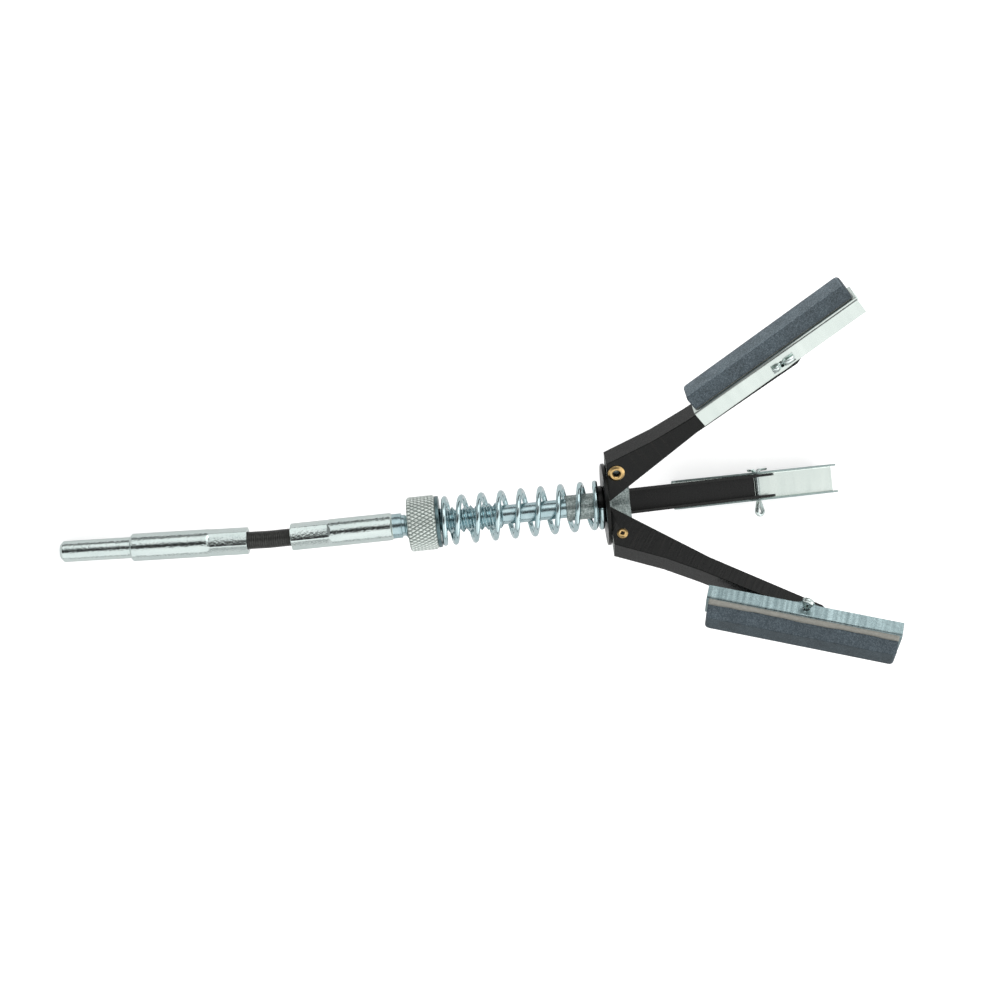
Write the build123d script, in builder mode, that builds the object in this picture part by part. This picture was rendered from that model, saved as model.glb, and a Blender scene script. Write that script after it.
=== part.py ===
from build123d import *
from math import asin, atan2, cos, degrees, hypot, radians, sin
import os

# A three-leg cylinder hone. Sizes are in millimetres and angles in degrees.
# Stations along the tool are measured from the seat, which is the front face of the
# spreader plate with the legs wide open. They are positive towards the stones and
# negative towards the shank.

# Drive shank with its socket, and the flexible shaft crimped into it
shank_diameter = 6.0
shank_length = 20.0
shank_chamfer = 0.8
socket_diameter = 7.8
rear_socket_length = 33.0
socket_chamfer = 0.5
flex_diameter = 5.0
flex_free_length = 12.3
flex_bend = 2.5
socket_depth = 13.0
crimp_length = 11.3
crimp_flats = 7.0

# Threaded spindle
front_socket_length = 28.8
neck_diameter = 7.0
neck_length = 2.6
relief_diameter = 6.0
relief_length = 0.8
thread_diameter = 7.5
thread_length = 27.8
thread_chamfer = 0.6
rod_diameter = 5.4
rod_length = 18.0
spigot_diameter = 4.4
spigot_in_hub = 15.5

# Adjusting nut, its washer and the pressure spring, whose wire is drawn with six sides
nut_diameter = 15.4
nut_length = 7.9
nut_chamfer = 0.9
nut_from_thread_end = 1.1
washer_diameter = 14.6
washer_thickness = 1.0
spring_wire = 1.5
spring_mean_diameter = 12.6
spring_first_turn = -0.45
spring_last_turn = 8.94
spring_end_pitch = 2.2
spring_end_turns = 1.3
spring_closed_share = 0.2
spring_steps_per_turn = 12
spring_wire_sides = 6

# Spreader plate with the bush that guides it on the hub stem
plate_diameter = 23.1
plate_thickness = 1.0
bush_diameter = 10.7
bush_length = 2.2

# Hub
stem_diameter = 7.2
stem_length = 11.7
hub_front = 7.0
fin_thickness = 5.0
fin_rear = 0.4
core_flat_radius = 3.7
fin_shoulder_radius = 7.4
hub_chamfer = 0.5

# Legs, pressed from steel sheet as channels that are open towards the tool axis
first_leg_clock = 60
full_turn = 360
leg_clocks = {leg: first_leg_clock + full_turn * index / 3 for index, leg in enumerate("abc")}
open_angle = 31.8
pivot_radius = 11.8
pivot_ahead = 2.75
leg_length = 54.0
leg_width = 7.3
leg_sheet = 0.8
leg_fold_radius = 1.0
web_at_pivot = 4.0
web_bend = (13.6, 1.9)
web_crease = (24.5, 1.3)
web_stops_short = 1.7
web_at_pin = 1.0
heel_radius = 2.7
ear_kink = (24.5, -3.4)
ear_depth_at_pin = 3.3
ear_nose = 1.2
ear_tip = (5.4, -2.5)

# Pivot rivets, brass, with a hollow head on one side and a small head on the other
rivet_diameter = 2.4
rivet_head_diameter = 4.6
rivet_head_height = 0.7
rivet_hollow_diameter = 1.8
rivet_hollow_depth = 2.2
rivet_tail_diameter = 3.1
rivet_tail_height = 0.45

# Stone holders, pressed from zinc-plated sheet, each on one cotter pin
holder_angles = {"a": 2.0, "b": None, "c": -12.7}
holder_length = 52.2
holder_width = 8.8
holder_sheet = 0.6
holder_fold_radius = 0.8
holder_face = 3.15
holder_depth = 4.4
holder_ear_radius = 2.0
pin_ahead_of_middle = 0.4

# Abrasive stones and the cement that beds them
stone_length = 50.8
stone_width = 6.4
stone_height = 4.4
cement_width = 7.2
cement_thickness = 0.55

# Cotter pins
cotter_diameter = 1.6
cotter_wire = 0.75
eye_length = 4.6
eye_width = 3.1
eye_sides = 8
tail_lengths = (2.9, 3.9)

# Clearances
running_gap = 0.05
face_gap = 0.05
heel_gap = 0.1
cotter_gap = 0.15
eye_gap = 0.25

# Stations that follow from the lengths
rod_rear = -stem_length - rod_length
thread_rear = rod_rear - thread_length
relief_rear = thread_rear - relief_length
neck_rear = relief_rear - neck_length
front_socket_mouth = neck_rear - front_socket_length
flex_middle = front_socket_mouth - flex_free_length / 2
nut_rear = thread_rear + nut_from_thread_end
nut_front = nut_rear + nut_length
washer_rear = nut_front + face_gap
washer_front = washer_rear + washer_thickness

# The cotter pin of a leg that stands open: its station and its distance from the axis
pin_station = pivot_ahead + leg_length * cos(radians(open_angle))
pin_radius = pivot_radius + leg_length * sin(radians(open_angle))
stone_face = holder_face + cement_thickness + stone_height

# The hone lies on the edge of its shank and on the whole face of stone b, so its axis
# rises towards the hub at the angle between the axis and that face.
shank_reach = flex_free_length / 2 + rear_socket_length + shank_length - shank_chamfer
shank_edge = flex_middle - shank_reach * cos(radians(flex_bend))
rise = pin_radius - shank_diameter / 2
run = pin_station - shank_edge
tilt = degrees(atan2(rise, run) + asin(stone_face / hypot(rise, run)))
holder_angles["b"] = tilt - open_angle

# The origin is the middle of stone b's face, on the table. The tool's own frame has x
# along the tool axis and z upwards from it.
face_station = pin_station - stone_face * sin(radians(tilt)) - pin_ahead_of_middle * cos(radians(tilt))
face_radius = pin_radius + stone_face * cos(radians(tilt)) - pin_ahead_of_middle * sin(radians(tilt))
tool_forward = Vector(cos(radians(tilt)), 0, sin(radians(tilt)))
tool_up = Vector(-sin(radians(tilt)), 0, cos(radians(tilt)))
tool_origin = tool_up * face_radius - tool_forward * face_station
tool = Plane(origin=tool_origin, x_dir=tool_forward, z_dir=tool_up)
tool_axis = Axis(tool.origin, tool.x_dir)


def across(station):
    """The plane square to the tool axis at a station, facing forwards."""
    return Plane(origin=tool.origin + tool.x_dir * station, x_dir=tool.y_dir, z_dir=tool.x_dir)


def outward(clock):
    """The direction away from the tool axis at a clock angle, where 0 is up."""
    return tool.z_dir * cos(radians(clock)) + tool.y_dir * sin(radians(clock))


def radial(clock, station=0.0, radius=0.0, turn=0.0):
    """A plane through the tool axis: x forwards, turned outwards by turn, and y outwards."""
    out = outward(clock)
    forward = tool.x_dir * cos(radians(turn)) + out * sin(radians(turn))
    here = tool.origin + tool.x_dir * station + out * radius
    return Plane(origin=here, x_dir=forward, z_dir=tool.x_dir.cross(out))


def leg_plane(leg):
    """The side plane of a leg: its origin is the pivot and its x runs to the cotter pin."""
    return radial(leg_clocks[leg], pivot_ahead, pivot_radius, open_angle)


def holder_plane(leg):
    """The side plane of a holder: its origin is the cotter pin and its x runs along the stone."""
    turn = open_angle + holder_angles[leg]
    return radial(leg_clocks[leg], pin_station, pin_radius, turn)


def shifted(plane, amount):
    """The plane moved along its own z."""
    return Plane(origin=plane.origin + plane.z_dir * amount, x_dir=plane.x_dir, z_dir=plane.z_dir)


def inset(point_a, point_b, distance):
    """The two ends of a line moved square to it, towards its right-hand side."""
    dx, dy = point_b[0] - point_a[0], point_b[1] - point_a[1]
    step = distance / hypot(dx, dy)
    return (point_a[0] + dy * step, point_a[1] - dx * step), (point_b[0] + dy * step, point_b[1] - dx * step)


def finish(part, name):
    """Labels a finished piece and writes it to its file."""
    part.label = name
    export_step(part, f"parts/{name}.step")


os.makedirs("parts", exist_ok=True)

# The shank's own side plane, turned by the bend of the flexible shaft about its middle
bend_point = tool.origin + tool.x_dir * flex_middle
shank_forward = tool.x_dir * cos(radians(flex_bend)) - tool.y_dir * sin(radians(flex_bend))
shank_side = Plane(origin=bend_point, x_dir=shank_forward, z_dir=tool.z_dir)
shank_axis = Axis(bend_point, shank_forward)
rear_mouth = -flex_free_length / 2
rear_step = rear_mouth - rear_socket_length
shank_tip = rear_step - shank_length


def crimp(face_plane, length):
    """Presses a socket to a hexagon over a length in front of face_plane."""
    with BuildSketch(face_plane) as pressed_away:
        Circle(socket_diameter)
        RegularPolygon(crimp_flats / 2, 6, major_radius=False, mode=Mode.SUBTRACT)
    extrude(pressed_away.sketch, amount=length, mode=Mode.SUBTRACT)


# Drive shank: a turned bar with a step, bored for the flexible shaft and crimped on it
with BuildPart() as drive_shank:
    with BuildSketch(shank_side):
        with BuildLine():
            Polyline(
                (shank_tip, 0),
                (shank_tip, shank_diameter / 2 - shank_chamfer),
                (shank_tip + shank_chamfer, shank_diameter / 2),
                (rear_step, shank_diameter / 2),
                (rear_step, socket_diameter / 2 - socket_chamfer),
                (rear_step + socket_chamfer, socket_diameter / 2),
                (rear_mouth, socket_diameter / 2),
                (rear_mouth, flex_diameter / 2),
                (rear_mouth - socket_depth, flex_diameter / 2),
                (rear_mouth - socket_depth, 0),
                close=True,
            )
        make_face()
    revolve(axis=shank_axis)
    rear_crimp = Plane(
        origin=bend_point + shank_forward * (rear_mouth - crimp_length),
        x_dir=tool.z_dir,
        z_dir=shank_forward,
    )
    crimp(rear_crimp, crimp_length)
finish(drive_shank.part, "drive_shank")

# Flexible shaft: its outer cylinder, held in both sockets and bent halfway between them
with BuildPart() as flexible_shaft:
    rear_end = bend_point + shank_forward * (rear_mouth - socket_depth)
    front_end = bend_point + tool.x_dir * (flex_free_length / 2 + socket_depth)
    with BuildLine():
        Polyline(rear_end, bend_point, front_end)
    with BuildSketch(Plane(origin=rear_end, x_dir=tool.z_dir, z_dir=shank_forward)):
        Circle(flex_diameter / 2)
    sweep(transition=Transition.RIGHT)
finish(flexible_shaft.part, "flexible_shaft")

# Threaded spindle: front socket, neck, thread at its outer diameter, plain rod and spigot
front_bore = front_socket_mouth + socket_depth
spigot_end = -stem_length + spigot_in_hub
with BuildPart() as threaded_spindle:
    with BuildSketch(radial(0)):
        with BuildLine():
            Polyline(
                (front_bore, 0),
                (front_bore, flex_diameter / 2),
                (front_socket_mouth, flex_diameter / 2),
                (front_socket_mouth, socket_diameter / 2),
                (neck_rear - socket_chamfer, socket_diameter / 2),
                (neck_rear, neck_diameter / 2),
                (relief_rear, neck_diameter / 2),
                (relief_rear, relief_diameter / 2),
                (thread_rear, relief_diameter / 2),
                (thread_rear + thread_chamfer, thread_diameter / 2),
                (rod_rear - thread_chamfer, thread_diameter / 2),
                (rod_rear, rod_diameter / 2),
                (-stem_length, rod_diameter / 2),
                (-stem_length, spigot_diameter / 2),
                (spigot_end, spigot_diameter / 2),
                (spigot_end, 0),
                close=True,
            )
        make_face()
    revolve(axis=tool_axis)
    crimp(across(front_socket_mouth), crimp_length)
finish(threaded_spindle.part, "threaded_spindle")

# Hub: a stem that the spreader plate slides on, and three fins that carry the legs
with BuildPart() as hub:
    with BuildSketch(across(-stem_length)):
        Circle(stem_diameter / 2)
    extrude(amount=stem_length + hub_front)
    with BuildSketch(across(fin_rear)):
        RegularPolygon(core_flat_radius, 3, major_radius=False, rotation=90 - leg_clocks["a"])
    extrude(amount=hub_front - fin_rear)
    fin_tip_radius = pivot_ahead - fin_rear
    for clock in leg_clocks.values():
        with BuildSketch(radial(clock, pivot_ahead, pivot_radius)):
            with BuildLine():
                CenterArc((0, 0), fin_tip_radius, 0, full_turn)
                Line((-fin_tip_radius, 0), (-fin_tip_radius, -pivot_radius))
                Line(
                    (hub_front - pivot_ahead, -pivot_radius),
                    (hub_front - pivot_ahead, fin_shoulder_radius - pivot_radius),
                )
            make_hull()
        extrude(amount=fin_thickness / 2, both=True)
    chamfer(hub.edges().group_by(Axis(tool.origin, tool.x_dir))[-1], hub_chamfer)
    for clock in leg_clocks.values():
        with BuildSketch(radial(clock, pivot_ahead, pivot_radius)):
            Circle(rivet_diameter / 2 + running_gap)
        extrude(amount=fin_thickness, both=True, mode=Mode.SUBTRACT)
    with BuildSketch(across(-stem_length)):
        Circle(spigot_diameter / 2)
    extrude(amount=spigot_in_hub, mode=Mode.SUBTRACT)
finish(hub.part, "hub")

# Adjusting nut
with BuildPart() as adjusting_nut:
    with BuildSketch(across(nut_rear)):
        Circle(nut_diameter / 2)
        Circle(thread_diameter / 2 + running_gap, mode=Mode.SUBTRACT)
    extrude(amount=nut_length)
    rims = adjusting_nut.edges().filter_by(GeomType.CIRCLE).sort_by(SortBy.RADIUS)[-2:]
    chamfer(rims, nut_chamfer)
finish(adjusting_nut.part, "adjusting_nut")

# Washer between the nut and the spring
with BuildPart() as spring_washer:
    with BuildSketch(across(washer_rear)):
        Circle(washer_diameter / 2)
        Circle(thread_diameter / 2 + running_gap, mode=Mode.SUBTRACT)
    extrude(amount=washer_thickness)
finish(spring_washer.part, "spring_washer")

# Pressure spring: a left-handed coil whose turns lie closer at both ends
spring_rear = washer_front + spring_wire / 2 + face_gap
spring_front = -plate_thickness - spring_wire / 2 - face_gap
turns = spring_last_turn - spring_first_turn
steps = round(turns * spring_steps_per_turn)
turn_step = turns / steps


def pitch_share(turn):
    """0 in the closed end turns, 1 in the open ones, with a smooth change between."""
    from_end = min(turn - spring_first_turn, spring_last_turn - turn)
    share = min(max(from_end / spring_end_turns - spring_closed_share, 0), 1)
    return share * share * (3 - 2 * share)


open_turns = turn_step * sum(pitch_share(spring_first_turn + (k + 0.5) * turn_step) for k in range(steps))
open_pitch = (spring_front - spring_rear - spring_end_pitch * turns) / open_turns
spring_points = []
station = spring_rear
for k in range(steps + 1):
    turn = spring_first_turn + k * turn_step
    spot = tool.origin + tool.x_dir * station + outward(turn * full_turn) * (spring_mean_diameter / 2)
    spring_points.append(spot)
    station += (spring_end_pitch + open_pitch * pitch_share(turn + turn_step / 2)) * turn_step

with BuildPart() as compression_spring:
    with BuildLine() as coil:
        Polyline(*spring_points)
    wire_end = Plane(
        origin=coil.line @ 0,
        x_dir=outward(spring_first_turn * full_turn),
        z_dir=coil.line % 0,
    )
    with BuildSketch(wire_end):
        RegularPolygon(spring_wire / 2, spring_wire_sides)
    sweep(transition=Transition.RIGHT)
finish(compression_spring.part, "compression_spring")

# Spreader plate and its guide bush, which also centres the end turn of the spring
with BuildPart() as spreader_plate:
    with BuildSketch(across(-plate_thickness)):
        Circle(plate_diameter / 2)
        Circle(stem_diameter / 2 + running_gap, mode=Mode.SUBTRACT)
    extrude(amount=plate_thickness)
finish(spreader_plate.part, "spreader_plate")

with BuildPart() as plate_bush:
    with BuildSketch(across(-plate_thickness - bush_length)):
        Circle(bush_diameter / 2)
        Circle(stem_diameter / 2 + running_gap, mode=Mode.SUBTRACT)
    extrude(amount=bush_length)
finish(plate_bush.part, "plate_bush")

# The outline of a leg from the side. Its heel and the rear end of its web stand in one
# plane just in front of the spreader plate, and its web runs outside the pivot line.
sine, cosine = sin(radians(open_angle)), cos(radians(open_angle))
rear_offset = heel_gap - pivot_ahead
web_rear = ((rear_offset + web_at_pivot * sine) / cosine, web_at_pivot)
heel_across = heel_radius - pivot_radius
heel = (rear_offset * cosine + heel_across * sine, heel_across * cosine - rear_offset * sine)
web_end = (leg_length - web_stops_short, web_at_pin)
ear_bottom = (leg_length, -ear_depth_at_pin)
ear_front = (leg_length + ear_tip[0], ear_tip[1])
ear_top = (leg_length + ear_nose, ear_nose)
web_line = [web_rear, web_bend, web_crease, web_end]
arm_outline = web_line + [ear_top, ear_front, ear_bottom, ear_kink, heel]
inner_line = []
for start, stop in zip(web_line, web_line[1:]):
    inner_line += inset(start, stop, leg_sheet)
far = 2 * leg_length

for leg in leg_clocks:
    side = leg_plane(leg)
    # The space between the ears, which also ends the web just before the cotter pin
    with BuildPart() as hollow:
        with BuildSketch(side):
            with BuildLine():
                Polyline(
                    (-leg_length, -leg_length),
                    (-leg_length, inner_line[0][1] + leg_length / 10),
                    inner_line[0],
                    inner_line[2],
                    inner_line[4],
                    inner_line[5],
                    (web_end[0], leg_length),
                    (far, leg_length),
                    (far, -leg_length),
                    close=True,
                )
            make_face()
        extrude(amount=leg_width / 2 - leg_sheet, both=True)
    with BuildPart() as arm:
        with BuildSketch(side):
            with BuildLine():
                Polyline(*arm_outline, close=True)
            make_face()
        extrude(amount=leg_width / 2, both=True)
        folds = ShapeList()
        for start, stop in zip(web_line, web_line[1:]):
            middle = side.from_local_coords(((start[0] + stop[0]) / 2, (start[1] + stop[1]) / 2, 0))
            folds += arm.edges().filter_by(lambda e: abs((e.center() - middle).length - leg_width / 2) < 0.01)
        fillet(folds, leg_fold_radius)
        add(hollow.part, mode=Mode.SUBTRACT)
        with BuildSketch(side):
            Circle(rivet_diameter / 2)
            with Locations((leg_length, 0)):
                Circle(cotter_diameter / 2 + running_gap)
        extrude(amount=leg_width, both=True, mode=Mode.SUBTRACT)
    finish(arm.part, f"leg_{leg}")

    # Rivet through both ears and the hub fin
    with BuildPart() as rivet:
        with BuildSketch(shifted(side, -leg_width / 2 - rivet_tail_height)):
            Circle(rivet_tail_diameter / 2)
        extrude(amount=rivet_tail_height)
        with BuildSketch(shifted(side, -leg_width / 2)):
            Circle(rivet_diameter / 2)
        extrude(amount=leg_width)
        with BuildSketch(shifted(side, leg_width / 2)):
            Circle(rivet_head_diameter / 2)
        extrude(amount=rivet_head_height)
        with BuildSketch(shifted(side, leg_width / 2 + rivet_head_height)):
            Circle(rivet_hollow_diameter / 2)
        extrude(amount=-rivet_hollow_depth, mode=Mode.SUBTRACT)
    finish(rivet.part, f"pivot_rivet_{leg}")

    # Holder: a shallow channel with a rounded ear at the pin on both flanges
    along = holder_plane(leg)
    holder_rear = -holder_length / 2 - pin_ahead_of_middle
    holder_front = holder_rear + holder_length
    flange_edge = holder_face - holder_depth
    with BuildPart() as holder:
        with BuildSketch(along):
            with BuildLine():
                Polyline(
                    (holder_rear, holder_face),
                    (holder_front, holder_face),
                    (holder_front, flange_edge),
                    (holder_rear, flange_edge),
                    close=True,
                )
            make_face()
            Circle(holder_ear_radius)
        extrude(amount=holder_width / 2, both=True)
        top_edges = holder.edges().filter_by(Axis(along.origin, along.x_dir))
        top_edges = top_edges.group_by(Axis(along.origin, along.y_dir))[-1]
        fillet(top_edges, holder_fold_radius)
        with BuildSketch(along):
            with Locations((0, holder_face - holder_sheet - holder_length / 2)):
                Rectangle(2 * holder_length, holder_length)
        extrude(amount=holder_width / 2 - holder_sheet, both=True, mode=Mode.SUBTRACT)
        with BuildSketch(along):
            Circle(cotter_diameter / 2 + cotter_gap)
        extrude(amount=holder_width, both=True, mode=Mode.SUBTRACT)
    finish(holder.part, f"stone_holder_{leg}")

    # Cement bed and stone, stacked on the holder's web
    bed_middle = along.origin + along.y_dir * holder_face - along.x_dir * pin_ahead_of_middle
    bed = Plane(origin=bed_middle, x_dir=along.x_dir, z_dir=along.y_dir)
    with BuildPart() as cement:
        with BuildSketch(bed):
            Rectangle(stone_length, cement_width)
        extrude(amount=cement_thickness)
    finish(cement.part, f"stone_cement_{leg}")
    with BuildPart() as stone:
        with BuildSketch(shifted(bed, cement_thickness)):
            Rectangle(stone_length, stone_width)
        extrude(amount=stone_height)
    finish(stone.part, f"abrasive_stone_{leg}")

    # Cotter pin: round shank, an eye on one side and on the other two tails bent apart
    eye_start = holder_width / 2 + eye_gap
    eye_middle = eye_start + eye_length - eye_width / 2
    fork = eye_start + cotter_diameter / 2
    pin_centre = side.from_local_coords((leg_length, 0, 0))
    pin_start = Plane(origin=pin_centre - side.z_dir * eye_start, x_dir=side.x_dir, z_dir=side.z_dir)
    with BuildPart() as cotter:
        with BuildSketch(pin_start):
            Circle(cotter_diameter / 2)
        extrude(amount=eye_start + fork)
        with BuildSketch(Plane(origin=pin_centre, x_dir=side.x_dir, z_dir=side.y_dir)):
            with Locations((0, eye_start)):
                Rectangle(cotter_diameter, eye_middle - eye_start, align=(Align.CENTER, Align.MIN))
            with Locations((0, eye_middle)):
                RegularPolygon(eye_width / 2, eye_sides, major_radius=False)
                RegularPolygon(eye_width / 2 - cotter_wire, eye_sides, major_radius=False, mode=Mode.SUBTRACT)
            with Locations((0, -fork)):
                Rectangle(tail_lengths[0], cotter_wire, align=(Align.MAX, Align.MIN))
                Rectangle(tail_lengths[1], cotter_wire, align=(Align.MIN, Align.MIN))
        extrude(amount=cotter_diameter / 2, both=True)
    finish(cotter.part, f"cotter_pin_{leg}")
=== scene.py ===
from math import acos, atan2, cos, degrees, hypot, pi, radians, sin, tan

import bmesh
import bpy
from mathutils import Matrix, Vector


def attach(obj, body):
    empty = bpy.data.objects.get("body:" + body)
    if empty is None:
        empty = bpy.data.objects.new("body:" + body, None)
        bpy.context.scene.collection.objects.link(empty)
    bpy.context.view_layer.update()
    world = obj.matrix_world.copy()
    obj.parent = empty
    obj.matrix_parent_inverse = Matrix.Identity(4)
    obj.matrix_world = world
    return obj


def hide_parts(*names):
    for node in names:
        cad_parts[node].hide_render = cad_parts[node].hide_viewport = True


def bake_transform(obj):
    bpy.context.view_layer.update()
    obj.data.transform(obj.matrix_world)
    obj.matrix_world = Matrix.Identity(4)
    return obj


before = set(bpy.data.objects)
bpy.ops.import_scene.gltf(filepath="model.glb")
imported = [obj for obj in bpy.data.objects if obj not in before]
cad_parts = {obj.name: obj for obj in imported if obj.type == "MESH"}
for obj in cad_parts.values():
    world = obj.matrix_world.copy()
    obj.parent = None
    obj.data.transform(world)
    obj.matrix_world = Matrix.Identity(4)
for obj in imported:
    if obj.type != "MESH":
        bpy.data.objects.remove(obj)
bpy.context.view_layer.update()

MM = 0.001

# Sizes in millimetres and angles in degrees, the same as the solids have. Stations run along
# the tool from the seat of the spreader plate, positive towards the stones.
SEAT = Vector((-55.88497, 0.0, 36.71425))
TILT = 12.66157
FLEX_MIDDLE = -95.85
FLEX_BEND = 2.5
LEG_CLOCKS = {"a": 60, "b": 180, "c": 300}
OPEN_ANGLE = 31.8
PIVOT = Vector((2.75, 11.8, 0.0))
LEG_LENGTH = 54.0
HOLDER_TURN = {"a": 2.0, "b": TILT - OPEN_ANGLE, "c": -12.7}


# Places on the tool

def moved(x=0.0, y=0.0, z=0.0):
    return Matrix.Translation(Vector((x, y, z)) * MM)


def turned_by(angle, axis):
    return Matrix.Rotation(radians(angle), 4, axis)


TOOL = moved(*SEAT) @ turned_by(-TILT, "Y")
SHANK = TOOL @ moved(x=FLEX_MIDDLE) @ turned_by(-FLEX_BEND, "Z")


def radial_place(clock):
    """x along the tool, y outwards at a clock angle, and z across."""
    return TOOL @ turned_by(90 - clock, "X")


def leg_place(leg):
    """x from the pivot to the cotter pin, y outwards, z across the leg."""
    return radial_place(LEG_CLOCKS[leg]) @ moved(*PIVOT) @ turned_by(OPEN_ANGLE, "Z")


def pin_place(leg):
    """The same directions, with the cotter pin at the origin."""
    return leg_place(leg) @ moved(x=LEG_LENGTH)


def holder_place(leg):
    """x along the stone, y outwards, z across, with the cotter pin at the origin."""
    return pin_place(leg) @ turned_by(HOLDER_TURN[leg], "Z")


# Materials

def linear(hex_colour):
    """An sRGB hex colour as linear RGBA."""
    channels = [int(hex_colour[i:i + 2], 16) / 255 for i in (1, 3, 5)]
    return [c / 12.92 if c <= 0.04045 else ((c + 0.055) / 1.055) ** 2.4 for c in channels] + [1.0]


def add(tree, kind, settings=None, links=None, stops=()):
    """Adds a node, sets its properties, sockets and colour stops, and links its inputs, each to
    a socket or to a node's first output."""
    node = tree.nodes.new("ShaderNode" + kind)
    for key, value in (settings or {}).items():
        if isinstance(key, str) and hasattr(node, key):
            setattr(node, key, value)
        else:
            node.inputs[key].default_value = value
    for key, source in (links or {}).items():
        tree.links.new(getattr(source, "outputs", [source])[0], node.inputs[key])
    for i, (position, colour) in enumerate(stops):
        elements = node.color_ramp.elements
        stop = elements[i] if i < 2 else elements.new(position)
        stop.position, stop.color = position, linear(colour)
    return node


def new_material(name):
    """An empty material, its node tree and each point's place on its own piece in metres."""
    material = bpy.data.materials.new(name)
    material.use_nodes = True
    tree = material.node_tree
    tree.nodes.clear()
    return material, tree, add(tree, "Attribute", {"attribute_name": "own_place"}).outputs["Vector"]


def per_metre(size_mm):
    """The scale of a pattern whose patches are about size_mm across."""
    return 1 / (size_mm * MM)


def zinc_plated(name, colours, roughness, wave_mm, wave_depth_mm, grain_depth_mm=0.02,
                speckle_mm=0.35, streak=(1, 1, 1), groove_shade=None):
    """Bright zinc plate over steel: clean, faintly cool metal. The plate is thin, so it shows the
    slow waves of the steel below it, which streak draws out along the way the steel was worked,
    and its own grain gives patches that are a little duller. Shade can be painted into the cut of a
    lathe as a darker colour that deepens with the cut."""
    material, tree, where = new_material(name)
    drawn_out = add(tree, "VectorMath", {"operation": "DIVIDE", 1: streak}, {0: where})
    wave = add(tree, "TexNoise", {"Scale": per_metre(wave_mm), "Roughness": 0.45},
               {"Vector": drawn_out})
    cloud = add(tree, "TexNoise", {"Scale": per_metre(speckle_mm)}, {"Vector": where})
    gloss = add(tree, "MapRange", {"From Min": 0.3, "From Max": 0.7, "To Min": roughness * 0.75,
                                   "To Max": roughness * 1.3}, {"Value": cloud})
    tone = add(tree, "MixRGB", {"Color1": linear(colours[0]), "Color2": linear(colours[1])},
               {"Fac": wave})
    # Painted shade: the colour darkens with the depth of the lathe's cut
    if groove_shade:
        depth = add(tree, "Attribute", {"attribute_name": "groove"})
        tone = add(tree, "MixRGB", {"Color2": linear(groove_shade)},
                   {"Fac": depth.outputs["Fac"], "Color1": tone})
    waves = add(tree, "Bump", {"Strength": 1.0, "Distance": wave_depth_mm * MM}, {"Height": wave})
    grain = add(tree, "Bump", {"Strength": 1.0, "Distance": grain_depth_mm * MM},
                {"Height": cloud, "Normal": waves})
    shader = add(tree, "BsdfPrincipled", {"Metallic": 1.0},
                 {"Base Color": tone, "Roughness": gloss, "Normal": grain})
    add(tree, "OutputMaterial", links={"Surface": shader})
    return material


def black_enamel():
    """Black stoving enamel on pressed steel: near black with a soft sheen, and the fine cross
    ridges and ripples that the press left in the steel below it."""
    material, tree, where = new_material("black_enamelled_steel")
    ripple = add(tree, "TexNoise", {"Scale": per_metre(1.6), "Detail": 3.0, "Roughness": 0.55},
                 {"Vector": where})
    peel = add(tree, "TexNoise", {"Scale": per_metre(0.4)}, {"Vector": where})
    drawn_out = add(tree, "VectorMath", {"operation": "DIVIDE", 1: (1, 14, 14)}, {0: where})
    ridges = add(tree, "TexNoise", {"Scale": per_metre(0.7)}, {"Vector": drawn_out})
    tone = add(tree, "MixRGB", {"Color1": linear("#090a09"), "Color2": linear("#161817")},
               {"Fac": ripple})
    # Painted highlight: the ridge crests get a lighter brown, for the light that they catch
    painted_ridge_glint = add(tree, "MapRange", {"From Min": 0.55, "From Max": 0.8, "To Max": 0.25},
                    {"Value": ridges})
    tone = add(tree, "MixRGB", {"Color2": linear("#35302c")}, {"Fac": painted_ridge_glint, "Color1": tone})
    gloss = add(tree, "MapRange", {"To Min": 0.2, "To Max": 0.36}, {"Value": ripple})
    ridged = add(tree, "Bump", {"Strength": 1.0, "Distance": 0.05 * MM}, {"Height": ridges})
    rippled = add(tree, "Bump", {"Strength": 1.0, "Distance": 0.03 * MM},
                  {"Height": ripple, "Normal": ridged})
    peeled = add(tree, "Bump", {"Strength": 0.5, "Distance": 0.006 * MM},
                 {"Height": peel, "Normal": rippled})
    shader = add(tree, "BsdfPrincipled", {"Specular IOR Level": 0.2},
                 {"Base Color": tone, "Roughness": gloss, "Normal": peeled})
    add(tree, "OutputMaterial", links={"Surface": shader})
    return material


def sheared_edge():
    """The sheared edge of the black sheet, where the enamel has worn off to the steel."""
    material, tree, where = new_material("bare_sheared_steel")
    wear = add(tree, "TexNoise", {"Scale": per_metre(0.8), "Detail": 5.0, "Roughness": 0.7},
               {"Vector": where})
    tone = add(tree, "ValToRGB", links={"Fac": wear}, stops=[(0.3, "#5a5d5a"), (0.5, "#c3c8c3")])
    shader = add(tree, "BsdfPrincipled", {"Metallic": 0.3, "Roughness": 0.4}, {"Base Color": tone})
    add(tree, "OutputMaterial", links={"Surface": shader})
    return material


def cast_zinc_alloy():
    """Die-cast zinc alloy with a tumbled skin: mid grey, half dull, with fine dark and light
    flecks."""
    material, tree, where = new_material("tumbled_die_cast_zinc")
    fleck = add(tree, "TexNoise", {"Scale": per_metre(0.45), "Detail": 6.0, "Roughness": 0.75},
                {"Vector": where})
    tone = add(tree, "ValToRGB", links={"Fac": fleck},
               stops=[(0.36, "#5c6664"), (0.5, "#8d9997"), (0.66, "#c4cfcd")])
    bump = add(tree, "Bump", {"Strength": 0.7, "Distance": 0.03 * MM}, {"Height": fleck})
    shader = add(tree, "BsdfPrincipled", {"Metallic": 0.8, "Roughness": 0.4},
                 {"Base Color": tone, "Normal": bump})
    add(tree, "OutputMaterial", links={"Surface": shader})
    return material


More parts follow.
